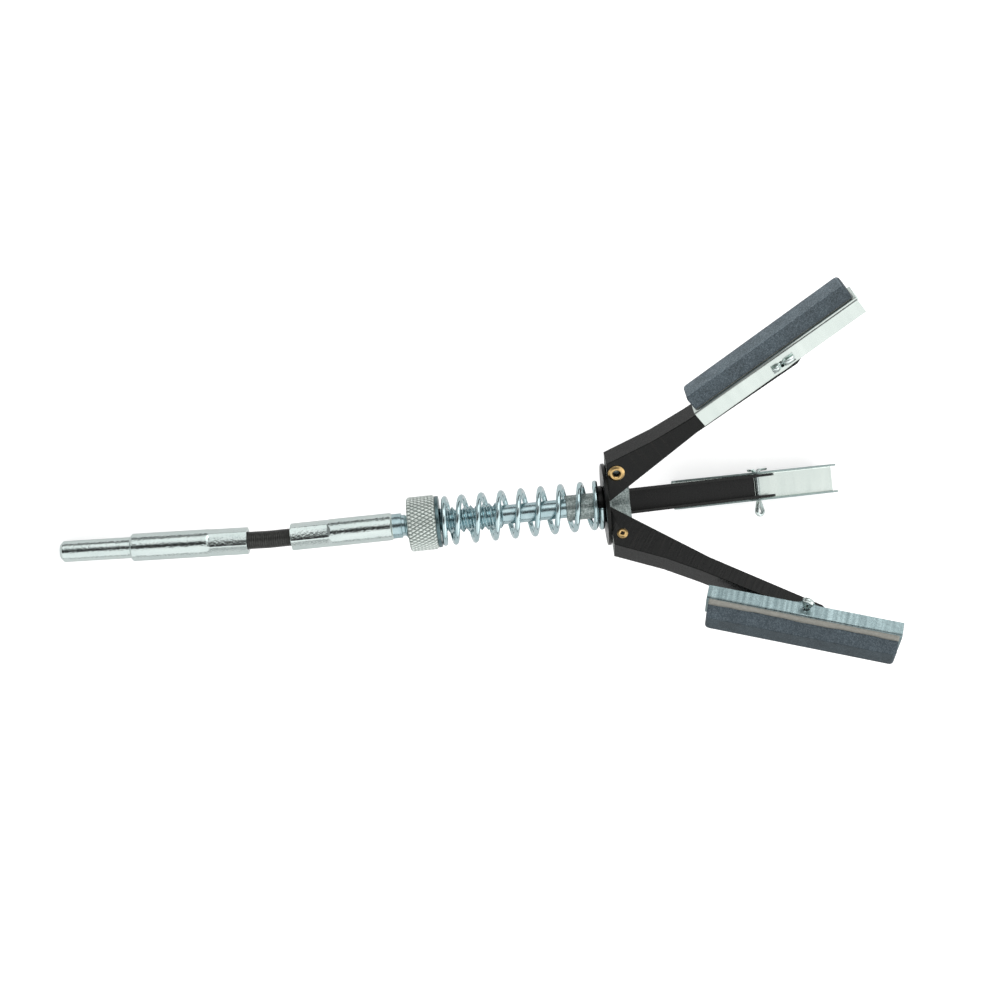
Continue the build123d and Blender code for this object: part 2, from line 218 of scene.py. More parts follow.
def brass(name, dull, bright, roughness, metallic):
    """Drawn brass, rolled over cold: warm yellow with soft highlights and browner where it has
    tarnished. A brown-black copy is painted shade for the inside of a bore and a dent."""
    material, tree, where = new_material(name)
    tarnish = add(tree, "TexNoise", {"Scale": per_metre(0.8), "Detail": 4.0}, {"Vector": where})
    tone = add(tree, "MixRGB", {"Color1": linear(dull), "Color2": linear(bright)},
               {"Fac": tarnish})
    gloss = add(tree, "MapRange", {"To Min": roughness * 0.7, "To Max": roughness * 1.3},
                {"Value": tarnish})
    bump = add(tree, "Bump", {"Strength": 0.6, "Distance": 0.04 * MM}, {"Height": tarnish})
    shader = add(tree, "BsdfPrincipled", {"Metallic": metallic},
                 {"Base Color": tone, "Roughness": gloss, "Normal": bump})
    add(tree, "OutputMaterial", links={"Surface": shader})
    return material


def cable_steel():
    """Wound cable of dark oiled steel wires: almost black, with a thin glint on each turn."""
    material, tree, where = new_material("oiled_wound_cable")
    grime = add(tree, "TexNoise", {"Scale": per_metre(0.6), "Detail": 4.0}, {"Vector": where})
    tone = add(tree, "MixRGB", {"Color1": linear("#1d1d1c"), "Color2": linear("#464745")},
               {"Fac": grime})
    shader = add(tree, "BsdfPrincipled", {"Metallic": 0.7, "Roughness": 0.38},
                 {"Base Color": tone})
    add(tree, "OutputMaterial", links={"Surface": shader})
    return material


def silicon_carbide(name, colours):
    """Vitrified silicon carbide, grit about 0.1 mm, drawn at 0.25 mm so that it shows: matt slate
    blue-grey, each grain a little lighter or darker. The copies carry painted light: lighter for a
    face or side that the light falls on, darker for one turned from it."""
    material, tree, where = new_material(name)
    grit = add(tree, "TexVoronoi", {"Scale": per_metre(0.25)}, {"Vector": where})
    grey = add(tree, "RGBToBW", links={"Color": grit.outputs["Color"]})
    drift = add(tree, "TexNoise", {"Scale": per_metre(5.0), "Detail": 3.0}, {"Vector": where})
    tone = add(tree, "ValToRGB", links={"Fac": grey}, stops=zip((0.1, 0.5, 0.9), colours))
    shade = add(tree, "MapRange", {"From Min": 0.3, "From Max": 0.7, "To Min": 0.85,
                                   "To Max": 1.12}, {"Value": drift})
    colour = add(tree, "VectorMath", {"operation": "SCALE"}, {0: tone, "Scale": shade})
    bump = add(tree, "Bump", {"Strength": 0.7, "Distance": 0.05 * MM}, {"Height": grey})
    shader = add(tree, "BsdfPrincipled", {"Roughness": 0.75},
                 {"Base Color": colour, "Normal": bump})
    add(tree, "OutputMaterial", links={"Surface": shader})
    return material


def resin_cement():
    """Resin cement with filler: matt beige-grey, uneven where it squeezed out beside the stone."""
    material, tree, where = new_material("filled_resin_cement")
    blotch = add(tree, "TexNoise", {"Scale": per_metre(0.9), "Detail": 5.0, "Roughness": 0.65},
                 {"Vector": where})
    tone = add(tree, "MixRGB", {"Color1": linear("#7f7e76"), "Color2": linear("#aeada5")},
               {"Fac": blotch})
    bump = add(tree, "Bump", {"Strength": 0.8, "Distance": 0.08 * MM}, {"Height": blotch})
    shader = add(tree, "BsdfPrincipled", {"Roughness": 0.6}, {"Base Color": tone, "Normal": bump})
    add(tree, "OutputMaterial", links={"Surface": shader})
    return material


# Turned from bar: mirror bright, with long soft waves along the bar
zinc_turned = zinc_plated("zinc_plated_turned_steel", ("#bccac8", "#d8e2df"), 0.15, 3.0, 0.035,
                          grain_depth_mm=0.07, speckle_mm=0.6, streak=(4, 1, 1))
# Rolled thread: darker and bluer all over, painted shade for the dark between its crests
zinc_thread = zinc_plated("zinc_plated_rolled_thread", ("#8ca8ae", "#c0d4d7"), 0.2, 2.0, 0.03)
# Drawn wire: smooth, with narrow bright lines along it
zinc_wire = zinc_plated("zinc_plated_spring_wire", ("#9cb7bb", "#cadbdd"), 0.13, 3.0, 0.02,
                        grain_depth_mm=0.01)
# Stamped washer: thin, dull plate, painted dark for the shade it lies in between the nut and the
# spring
zinc_washer_shaded = zinc_plated("dull_zinc_washer_painted_shade", ("#4a5f63", "#738a8d"), 0.3, 2.0, 0.02)
# Rolled sheet: pale and satin, with faint streaks across
zinc_sheet = zinc_plated("zinc_plated_sheet_steel", ("#c3cec9", "#dae2dd"), 0.2, 4.0, 0.02,
                         grain_depth_mm=0.008, streak=(1, 4, 4))
# The same sheet scuffed in use: darker, with plain cross streaks
zinc_scuffed = zinc_plated("scuffed_zinc_plated_sheet", ("#32464a", "#a9bcbe"), 0.3, 1.2, 0.06,
                           streak=(1, 12, 12))
# The sheet's sheared edge: rough and grey
zinc_sheared = zinc_plated("zinc_plated_sheared_edge", ("#7c8c8a", "#9fadab"), 0.45, 1.0, 0.03)
# Rolled knurl: white, half matt crests, with shade painted dark into the cut between them
zinc_knurl = zinc_plated("zinc_plated_knurled_steel", ("#cfd9d4", "#e8eeea"), 0.36, 2.5, 0.05,
                         groove_shade="#616f69")
black_steel = black_enamel()
edge_steel = sheared_edge()
cast_zinc = cast_zinc_alloy()
bright_brass = brass("rolled_brass", "#a3804a", "#e0c48e", 0.28, 1.0)
# Painted shade: a brown-black brass for the rivet's bore and dent
bore_shade_brass = brass("brass_bore_painted_shade", "#120e08", "#2b2112", 0.8, 0.2)
dark_cable = cable_steel()
# The carbide as fired, and three copies with painted light: lighter for lit faces and sides, darker
# for the shaded outer face of stone c
fired_stone = silicon_carbide("fired_silicon_carbide", ("#313c42", "#424e55", "#5a666d"))
lit_face_stone = silicon_carbide("silicon_carbide_painted_lit_face", ("#55626a", "#6c7a82", "#8e9ba2"))
lit_side_stone = silicon_carbide("silicon_carbide_painted_lit_side", ("#39454c", "#4a575f", "#616d75"))
shaded_face_stone = silicon_carbide("silicon_carbide_painted_shaded_face", ("#2a353a", "#374349", "#4a565d"))
beige_cement = resin_cement()


# Meshes

LARGE_FACE = 16.0
SLIGHT_TURN, MOST_OF_A_RUN = 0.2, 0.45
POLE = 1e-6
NEAR = 0.01
SHARP_EDGE = 35


def raw_piece(name, points, faces, place):
    """A mesh from points in millimetres, set at its place, with its faces turned outwards."""
    mesh = bpy.data.meshes.new(name)
    mesh.from_pydata([Vector(p) * MM for p in points], [], faces)
    form = bmesh.new()
    form.from_mesh(mesh)
    bmesh.ops.recalc_face_normals(form, faces=form.faces)
    form.to_mesh(mesh)
    form.free()
    mesh.shade_smooth()
    thing = bpy.data.objects.new(name, mesh)
    bpy.context.scene.collection.objects.link(thing)
    thing.matrix_world = place
    bpy.context.view_layer.update()
    return thing


def keep_flat(mesh):
    """Turns the large faces' corners square to them, so that soft edges don't bend their light."""
    large = [face for face in mesh.polygons if face.area > LARGE_FACE * MM ** 2]
    if large:
        normals = [corner.vector.copy() for corner in mesh.corner_normals]
        for face in large:
            for corner in face.loop_indices:
                normals[corner] = face.normal.copy()
        mesh.normals_split_custom_set(normals)


def settle(thing, materials, body=None, node=None):
    """Sets a finished piece at its place, keeping where each point lies on the piece for its
    materials, and gives it its body and the solid it stands for."""
    mesh = thing.data
    own_place = mesh.attributes.new("own_place", "FLOAT_VECTOR", "POINT")
    own_place.data.foreach_set("vector", [c for vertex in mesh.vertices for c in vertex.co])
    mesh.transform(thing.matrix_world)
    thing.matrix_world = Matrix.Identity(4)
    keep_flat(mesh)
    for material in materials:
        mesh.materials.append(material)
    if body:
        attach(thing, body)
    if node:
        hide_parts(node)
    return thing


def ease(t):
    """Rises softly from 0 to 1 while t does."""
    t = min(max(t, 0.0), 1.0)
    return t * t * (3 - 2 * t)


def circle(radius, count):
    return [(radius * cos(2 * pi * k / count), radius * sin(2 * pi * k / count))
            for k in range(count)]


def rounded(points, radius, closed=False, steps=4):
    """The line with each corner rounded by a short arc. A slight turn stays as it is."""
    result = []
    count = len(points)
    for i, here in enumerate(points):
        if not closed and i in (0, count - 1):
            result.append(here)
            continue
        corner = Vector(here)
        into, out = Vector(points[i - 1]) - corner, Vector(points[(i + 1) % count]) - corner
        turn = pi - into.angle(out)
        if turn < SLIGHT_TURN:
            result.append(here)
            continue
        reach = min(radius * tan(turn / 2), MOST_OF_A_RUN * into.length, MOST_OF_A_RUN * out.length)
        start, end = corner + into.normalized() * reach, corner + out.normalized() * reach
        for k in range(steps + 1):
            t = k / steps
            result.append(tuple(start * (1 - t) ** 2 + corner * 2 * t * (1 - t) + end * t * t))
    return result


def divided(points, longest):
    """The line with its long runs divided."""
    result = [points[0]]
    for (x, y), (next_x, next_y) in zip(points, points[1:]):
        parts = max(1, int(hypot(next_x - x, next_y - y) / longest))
        result += [(x + (next_x - x) * k / parts, y + (next_y - y) * k / parts)
                   for k in range(1, parts + 1)]
    return result


def lathe(name, profile, place, closed=False, around=96, cut=None, slots=None):
    """A turned piece. profile is a line of (x, radius), cut(x, radius, angle) gives a new radius,
    and slots(x, radius) the number of the material. The depth of the cuts is kept for the
    materials, as a share of the deepest."""
    points, faces, rings, depths = [], [], [], []
    for x, r in profile:
        ring = []
        for k in range(1 if r < POLE else around):
            angle = 2 * pi * k / around
            here = cut(x, r, angle) if cut and r > POLE else r
            ring.append(len(points))
            points.append((x, here * cos(angle), here * sin(angle)))
            depths.append(r - here)
        rings.append(ring)
    indexes = []
    for i, (first, second) in enumerate(zip(rings, rings[1:] + (rings[:1] if closed else []))):
        (x, r), (next_x, next_r) = profile[i], profile[(i + 1) % len(profile)]
        slot = slots((x + next_x) / 2, (r + next_r) / 2) if slots else 0
        for k in range(around):
            n = (k + 1) % around
            if len(first) == 1:
                faces.append((first[0], second[n], second[k]))
            elif len(second) == 1:
                faces.append((first[k], first[n], second[0]))
            else:
                faces.append((first[k], first[n], second[n], second[k]))
            indexes.append(slot)
    thing = raw_piece(name, points, faces, place)
    thing.data.polygons.foreach_set("material_index", indexes)
    deepest = max(depths)
    if deepest > 0:
        groove = thing.data.attributes.new("groove", "FLOAT", "POINT")
        groove.data.foreach_set("value", [max(depth, 0.0) / deepest for depth in depths])
    return thing


def skinned(name, rings, place):
    """A skin over rings of points, closed at both ends."""
    size, last = len(rings[0]), len(rings) - 1
    faces = [tuple(range(size))[::-1], tuple(range(last * size, last * size + size))]
    for start in range(0, last * size, size):
        for k in range(size):
            n = (k + 1) % size
            faces.append((start + k, start + n, start + size + n, start + size + k))
    return raw_piece(name, [point for ring in rings for point in ring], faces, place)


def slab(name, outline, half, place):
    """An outline in x and y, given a width to both sides in z."""
    return skinned(name, [[(x, y, z) for x, y in outline] for z in (-half, half)], place)


def swept(name, path, section, sides_of, place):
    """A section drawn along a path. sides_of(point, along) gives its two directions."""
    rings = []
    for i, point in enumerate(path):
        along = (path[min(i + 1, len(path) - 1)] - path[max(i - 1, 0)]).normalized()
        right, up = sides_of(point, along)
        rings.append([tuple(point + right * a + up * b) for a, b in section])
    return skinned(name, rings, place)


def rod(radius, half, place):
    """A round cutter along z."""
    return slab("cutter", circle(radius, 48), half, place)


def fold_edges(thing, chosen, radius, steps):
    """Rounds the edges between the points that chosen(start, end) picks, in millimetres."""
    form = bmesh.new()
    form.from_mesh(thing.data)
    edges = [e for e in form.edges if chosen(e.verts[0].co / MM, e.verts[1].co / MM)]
    bmesh.ops.bevel(form, geom=edges, offset=radius * MM, offset_type="OFFSET", segments=steps,
                    profile=0.5, affect="EDGES", clamp_overlap=True)
    form.to_mesh(thing.data)
    form.free()


def worked(thing, cutters=(), joined=(), soften=0.06, steps=2):
    """Joins and cuts a piece and breaks its sharp edges."""
    for kind, others in (("UNION", joined), ("DIFFERENCE", cutters)):
        for other in others:
            step = thing.modifiers.new("shape", "BOOLEAN")
            step.object, step.operation, step.solver = other, kind, "EXACT"
    broken = thing.modifiers.new("edges", "BEVEL")
    broken.width, broken.segments = soften * MM, steps
    broken.limit_method, broken.angle_limit = "ANGLE", radians(SHARP_EDGE)
    broken.use_clamp_overlap, broken.miter_outer = True, "MITER_ARC"
    seen = thing.evaluated_get(bpy.context.evaluated_depsgraph_get())
    done = bpy.data.meshes.new_from_object(seen)
    done.name = thing.name
    thing.modifiers.clear()
    thing.data = done
    for other in (*cutters, *joined):
        bpy.data.objects.remove(other)
    return thing


# Drive shank, flexible shaft and threaded spindle

SOCKET_RADIUS, SHANK_RADIUS, CABLE_RADIUS = 3.9, 3.0, 2.5
MOUTH_DEPTH, MOUTH_EDGE, STEP_EDGE, TIP_EDGE = 3.0, 0.15, 0.5, 0.85
CRIMP_LENGTH, CRIMP_RUN_OUT, CRIMP_CLOCK = 11.3, 1.8, 48
CRIMP_FLATS, CRIMP_RISE, CRIMP_CROWN, CRIMP_CORNER = 6.85, 0.9, 0.3, 3.8
UNPRESSED_RADIUS = 2.9


def crimped(mouth, inwards):
    """Presses a socket from its mouth to a hexagon with crowned flats, which run out softly. The
    bore inside the unpressed radius stays round."""
    def cut(x, r, angle):
        into = (x - mouth) * inwards
        if r < UNPRESSED_RADIUS or into > CRIMP_LENGTH + CRIMP_RUN_OUT / 2:
            return r
        depth = ease((CRIMP_LENGTH - into) / CRIMP_RUN_OUT + 0.5)
        turn = (angle - radians(CRIMP_CLOCK)) % (pi / 3) - pi / 6
        flat = (CRIMP_FLATS / 2 + (1 - depth) * CRIMP_RISE) / cos(turn)
        return min(r, flat + CRIMP_CROWN * (CRIMP_CORNER - flat))
    return cut


def socket_mouth(mouth, inwards):
    """The open end of a socket, from its bore out to its outer wall."""
    bottom = mouth + inwards * MOUTH_DEPTH
    return [(bottom, 0), (bottom, CABLE_RADIUS + 0.05), (mouth, CABLE_RADIUS + 0.1),
            (mouth, SOCKET_RADIUS - MOUTH_EDGE), (mouth + inwards * MOUTH_EDGE, SOCKET_RADIUS)]


rear_mouth, rear_step, shank_tip = -6.15, -39.15, -59.15
profile = [(shank_tip, 0), (shank_tip, SHANK_RADIUS - TIP_EDGE),
           (shank_tip + TIP_EDGE, SHANK_RADIUS), (rear_step, SHANK_RADIUS),
           (rear_step, SOCKET_RADIUS - STEP_EDGE), (rear_step + STEP_EDGE, SOCKET_RADIUS)]
profile = rounded(profile + socket_mouth(rear_mouth, -1)[::-1], radius=0.2)
shank = lathe("drive_shank_turned", divided(profile, longest=0.35), SHANK, around=144,
              cut=crimped(rear_mouth, -1))
settle(shank, [zinc_turned], "shank", "drive_shank")

CABLE_REACH, CABLE_BEND_REACH, CABLE_CORE = 8.5, 3.5, 2.0
WINDING_PITCH, WINDING_DEPTH = 0.62, 0.2


def wound(x, r, angle):
    """The cable's outer layer is round wire in fine close turns."""
    across = 2 * ((x / WINDING_PITCH + angle / (2 * pi)) % 1.0) - 1
    return r - WINDING_DEPTH * (1 - (1 - across * across) ** 0.5) if r > CABLE_CORE else r


profile = [(-CABLE_REACH, 0), (-CABLE_REACH, CABLE_RADIUS), (CABLE_REACH, CABLE_RADIUS),
           (CABLE_REACH, 0)]
cable = lathe("wound_cable", divided(profile, longest=0.08), TOOL @ moved(x=FLEX_MIDDLE),
              around=72, cut=wound)
for vertex in cable.data.vertices:
    share = ease((CABLE_BEND_REACH - vertex.co.x / MM) / (2 * CABLE_BEND_REACH))
    vertex.co = Matrix.Rotation(radians(-FLEX_BEND) * share, 4, "Z") @ vertex.co
settle(cable, [dark_cable])
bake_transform(cable)
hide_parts("flexible_shaft")

front_mouth, neck_rear, relief_rear, thread_rear = -89.7, -60.9, -58.3, -57.5
rod_rear, stem_rear = -29.7, -11.7
NECK_RADIUS, RELIEF_RADIUS, ROD_RADIUS = 3.5, 3.0, 2.7
THREAD_PITCH, THREAD_DEPTH, THREAD_RADIUS, THREAD_CHAMFER = 1.75, 0.95, 3.75, 0.6
THREAD_ROOT, THREAD_CREST = 0.12, 0.9
THREADED_RADIUS = 3.2
pressed_front = crimped(front_mouth, 1)


def spindle_cut(x, r, angle):
    """The crimp of the front socket and the right-handed thread, which starts and ends softly."""
    if x < neck_rear:
        return pressed_front(x, r, angle)
    if r <= THREADED_RADIUS or not thread_rear - 0.2 < x < rod_rear + 0.2:
        return r
    across = abs(2 * ((x / THREAD_PITCH - angle / (2 * pi)) % 1.0) - 1)
    share = min(1.0, max(0.0, (THREAD_CREST - across) / (THREAD_CREST - THREAD_ROOT)))
    ends = ease((rod_rear - x) / 1.8) * ease((x - thread_rear + 0.3) / 0.8)
    return r - THREAD_DEPTH * share * ends


profile = socket_mouth(front_mouth, 1)
profile += [(neck_rear - STEP_EDGE, SOCKET_RADIUS), (neck_rear, NECK_RADIUS),
            (relief_rear, NECK_RADIUS), (relief_rear, RELIEF_RADIUS), (thread_rear, RELIEF_RADIUS),
            (thread_rear + THREAD_CHAMFER, THREAD_RADIUS),
            (rod_rear - THREAD_CHAMFER, THREAD_RADIUS), (rod_rear, ROD_RADIUS),
            (stem_rear, ROD_RADIUS), (stem_rear, 0)]
profile = divided(rounded(profile, radius=0.12), longest=0.14)
spindle = lathe("threaded_spindle_turned", profile, TOOL, cut=spindle_cut,
                slots=lambda x, r: int(neck_rear < x))
settle(spindle, [zinc_turned, zinc_thread], "spindle", "threaded_spindle")


# Adjusting nut, washer, spreader plate and bush

NUT_RADIUS, KNURL_TEETH, KNURL_DEPTH, KNURL_LEAN = 7.7, 42, 0.3, 30
KNURL_FLANK, KNURL_EDGE = 0.24, 0.45
nut_rear, nut_front, washer_rear, washer_front = -56.4, -48.5, -48.45, -47.45
disc_rear, disc_front, bush_rear, bush_front = -1.0, 0.0, -3.2, -1.02


def knurled(x, r, angle):
    """A diamond knurl, rolled at 30 degrees to the axis each way, about 1.1 mm from groove to
    groove. Each flank takes its share of that."""
    if r < NUT_RADIUS - KNURL_EDGE:
        return r
    groove = 0.0
    for hand in (-1, 1):
        lean = hand * x * tan(radians(KNURL_LEAN)) / NUT_RADIUS
        tooth = ((angle + lean) / (2 * pi) * KNURL_TEETH) % 1.0
        groove = max(groove, 1 - min(tooth, 1 - tooth) / KNURL_FLANK)
    return r - KNURL_DEPTH * groove


def ring_profile(rear, front, bore, radius, chamfer, softness):
    """The outline of a ring with chamfered outer edges."""
    return rounded([(rear, bore), (rear, radius - chamfer), (rear + chamfer, radius),
                    (front - chamfer, radius), (front, radius - chamfer), (front, bore)],
                   softness, closed=True)


profile = ring_profile(nut_rear, nut_front, bore=3.85, radius=NUT_RADIUS, chamfer=0.5,
                       softness=0.3)
profile = divided(profile + profile[:1], longest=0.1)[:-1]
nut = lathe("knurled_nut", profile, TOOL, closed=True, around=504, cut=knurled)
settle(nut, [zinc_knurl], "nut", "adjusting_nut")

profile = ring_profile(washer_rear, washer_front, bore=3.8, radius=7.3, chamfer=0.12, softness=0.2)
washer = lathe("plain_washer", profile, TOOL, closed=True)
settle(washer, [zinc_washer_shaded], "washer", "spring_washer")

profile = ring_profile(disc_rear, disc_front, bore=3.65, radius=11.55, chamfer=0.12, softness=0.15)
plate = lathe("spreader_disc", profile, TOOL, closed=True, around=128)
settle(plate, [black_steel], "plate", "spreader_plate")

profile = ring_profile(bush_rear, bush_front, bore=3.65, radius=5.35, chamfer=0.35, softness=0.15)
bush = lathe("disc_bush", profile, TOOL, closed=True)
settle(bush, [black_steel], "plate", "plate_bush")


# Pressure spring: the solid's left-handed coil, drawn in two lengths

WIRE, COIL_RADIUS, FIRST, LAST, END_PITCH = 1.5, 6.3, -0.3, 8.98, 1.75
REAR_CLOSED, REAR_OPENING, FRONT_CLOSED, FRONT_OPENING = 0.4, 0.7, 0.93, 0.4
WIRE_SEAT, SLICES = 0.8, 640
SPRING_REAR, SPRING_FRONT = washer_front + WIRE_SEAT, disc_rear - WIRE_SEAT


def pitch_share(turn):
    """How open the coil is, from 0 where its ends are closed to 1. Its front end is closed for
    nearly a whole turn, its rear end for less."""
    return min(ease((turn - FIRST - REAR_CLOSED) / REAR_OPENING),
               ease((LAST - turn - FRONT_CLOSED) / FRONT_OPENING))


turn_step = (LAST - FIRST) / SLICES
open_turns = sum(pitch_share(FIRST + (k + 0.5) * turn_step) for k in range(SLICES)) * turn_step
open_pitch = (SPRING_FRONT - SPRING_REAR - END_PITCH * (LAST - FIRST)) / open_turns
coil, station = [], SPRING_REAR
for k in range(SLICES + 1):
    turn = FIRST + k * turn_step
    coil.append(Vector((station, COIL_RADIUS * sin(2 * pi * turn),
                        COIL_RADIUS * cos(2 * pi * turn))))
    station += (END_PITCH + open_pitch * pitch_share(turn + turn_step / 2)) * turn_step


def coil_piece(name, path):
    """A length of the wound wire."""
    def sides(point, along):
        up = along.cross(Vector((0, point.y, point.z)).normalized()).normalized()
        return up.cross(along), up

    return settle(swept(name, path, circle(WIRE / 2, 20), sides, TOOL), [zinc_wire])


JOIN = int(SLICES * 0.74)
rear_coil = coil_piece("pressure_spring_rear", coil[:JOIN + 1])
front_coil = coil_piece("pressure_spring_front", coil[JOIN:])
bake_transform(rear_coil)
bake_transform(front_coil)
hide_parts("compression_spring")
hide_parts("compression_spring")


# Hub: a stem and three fins whose sides meet in a valley

STEM_RADIUS, STEM_FRONT, SHOULDER = 3.6, 1.0, 7.4
FIN_HALF, FIN_REAR, FIN_FRONT, FIN_ROOT, FIN_STEPS = 2.5, 0.4, 6.1, -1.0, 24
tip_radius = PIVOT.x - FIN_REAR
shoulder = Vector((FIN_FRONT - PIVOT.x, SHOULDER - PIVOT.y))
tangent = degrees(atan2(shoulder.y, shoulder.x) + acos(tip_radius / shoulder.length))
fin = [(FIN_REAR, FIN_ROOT), (FIN_FRONT, FIN_ROOT), (FIN_FRONT, SHOULDER)]
for k in range(FIN_STEPS + 1):
    angle = radians(tangent + (180 - tangent) * k / FIN_STEPS)
    fin.append((PIVOT.x + tip_radius * cos(angle), PIVOT.y + tip_radius * sin(angle)))
stem = slab("hub_cast", circle(STEM_RADIUS, 96), (STEM_FRONT - stem_rear) / 2,
            TOOL @ moved(x=(STEM_FRONT + stem_rear) / 2) @ turned_by(90, "Y"))
fins = [slab("fin", fin, FIN_HALF, radial_place(clock)) for clock in LEG_CLOCKS.values()]
hub = worked(stem, joined=fins, soften=0.35, steps=3)
settle(hub, [cast_zinc], "spindle", "hub")


# Legs, rivets, holders, cement, stones and split pins

SHEET, LEG_HALF, LEG_FOLD, PIN_HOLE, RIVET_HOLE = 0.8, 3.65, 1.0, 0.9, 1.25
HEEL_STATION, HEEL_RADIUS, WEB_REAR_HEIGHT = 0.1, 2.7, 4.0

# The leg's rear end stands along the spreader plate, so it is drawn in the tool's directions and
# turned into the leg's. The web runs from there to the ears, and the flanges run back to the heel.
sine, cosine = sin(radians(OPEN_ANGLE)), cos(radians(OPEN_ANGLE))
rear_offset, heel_across = HEEL_STATION - PIVOT.x, HEEL_RADIUS - PIVOT.y
web_rear = ((rear_offset + WEB_REAR_HEIGHT * sine) / cosine, WEB_REAR_HEIGHT)
heel = (rear_offset * cosine + heel_across * sine, heel_across * cosine - rear_offset * sine)
WEB = [web_rear, (13.6, 1.9), (24.5, 1.3), (LEG_LENGTH - 0.95, 1.0)]
EAR = [(LEG_LENGTH + 1.2, 1.2), (LEG_LENGTH + 5.2, -2.0), (LEG_LENGTH + 3.4, -2.85),
       (24.5, -3.4), heel]

# How far a face has to look back towards the plate to be part of the sheared rear edge, and the
# part of that edge above the heel, where the enamel is gone
BARE_FACING, BARE_REACH, BARE_FOOT = 0.4, 6, -9.5


def inset(start, end, distance):
    """The two ends of a line moved square to it, to its right-hand side."""
    dx, dy = end[0] - start[0], end[1] - start[1]
    step = distance / hypot(dx, dy)
    return [(start[0] + dy * step, start[1] - dx * step), (end[0] + dy * step, end[1] - dx * step)]


def pressed_leg(leg):
    """A channel pressed from sheet, open towards the tool axis, with two ears past its web."""
    here = leg_place(leg)
    arm = slab(f"leg_{leg}_pressed", WEB + EAR, LEG_HALF, here)

    def along_web(p, q):
        on_web = all(any(hypot(v.x - x, v.y - y) < NEAR for x, y in WEB) for v in (p, q))
        return on_web and abs(p.z - q.z) < NEAR and abs(p.x - q.x) > 1

    fold_edges(arm, along_web, LEG_FOLD, steps=6)
    under = [inset(start, end, SHEET) for start, end in zip(WEB, WEB[1:])]
    ceiling = [(-30, 4.6), under[0][0], under[1][0], under[2][0], under[2][1]]
    outside = [(WEB[-1][0], 20), (80, 20), (80, -60)]
    hollow = slab("hollow", [(-30, -60)] + ceiling + outside, LEG_HALF - SHEET, here)
    worked(arm, [hollow, rod(PIN_HOLE, 6, pin_place(leg)), rod(RIVET_HOLE, 6, here)])
    rearward = here.inverted().to_3x3() @ TOOL.to_3x3() @ Vector((-1, 0, 0))
    for face in arm.data.polygons:
        x, y = face.center.x / MM, face.center.y / MM
        if face.normal.dot(rearward) > BARE_FACING and x < BARE_REACH and y > BARE_FOOT:
            face.material_index = 1
    return settle(arm, [black_steel, edge_steel], f"leg_{leg}", f"leg_{leg}")


HEAD_RADIUS, HEAD_HEIGHT, TAIL_RADIUS, TAIL_HEIGHT = 2.4, 0.7, 1.55, 0.45
HOLLOW_RADIUS, RIVET_RADIUS, DENT_RADIUS, RIVET_SEAT = 0.95, 1.2, 0.6, 0.03


def pivot_rivet(leg):
    """A brass rivet: a large head rolled over round its bore, and a small head with a square
    dent."""
    head, tail = LEG_HALF + RIVET_SEAT, -LEG_HALF - RIVET_SEAT
    profile = [(tail, 0), (tail - 0.05, 0.42), (tail - TAIL_HEIGHT, 0.55),
               (tail - TAIL_HEIGHT, 0.95), (tail - 0.22, TAIL_RADIUS), (tail, TAIL_RADIUS),
               (tail, RIVET_RADIUS), (head, RIVET_RADIUS), (head, HEAD_RADIUS - 0.1),
               (head + 0.22, HEAD_RADIUS), (head + HEAD_HEIGHT, 1.7), (head + HEAD_HEIGHT, 1.25),
               (head + 0.3, HOLLOW_RADIUS), (head - 1.5, HOLLOW_RADIUS), (head - 1.8, 0)]

    def square(x, r, angle):
        if x > tail or r > DENT_RADIUS:
            return r
        return r / max(abs(cos(angle)), abs(sin(angle))) * 0.9

    # The bore and the tail's dent take the brown-black brass, which is painted shade
    pin = lathe(f"rivet_{leg}", rounded(profile, radius=0.25), leg_place(leg) @ turned_by(-90, "Y"),
                around=72, cut=square, slots=lambda x, r: int(r < 0.5 or (r < 1.0 and x > 0)))
    return settle(pin, [bright_brass, bore_shade_brass], f"leg_{leg}", f"pivot_rivet_{leg}")


HOLDER_REAR, HOLDER_FRONT, FACE, HOLDER_HALF, HOLDER_SHEET = -26.5, 25.7, 3.15, 4.4, 0.6
HOLDER_FOLD, HOLDER_INNER_FOLD, HOLDER_HOLE = 1.05, 0.25, 0.95
FLANGES = {"a": -1.85, "b": -1.25, "c": -1.1}
SWELL_REACH, SWELL_DEPTH, SWELL_STEPS = 3.6, 2.0, 6


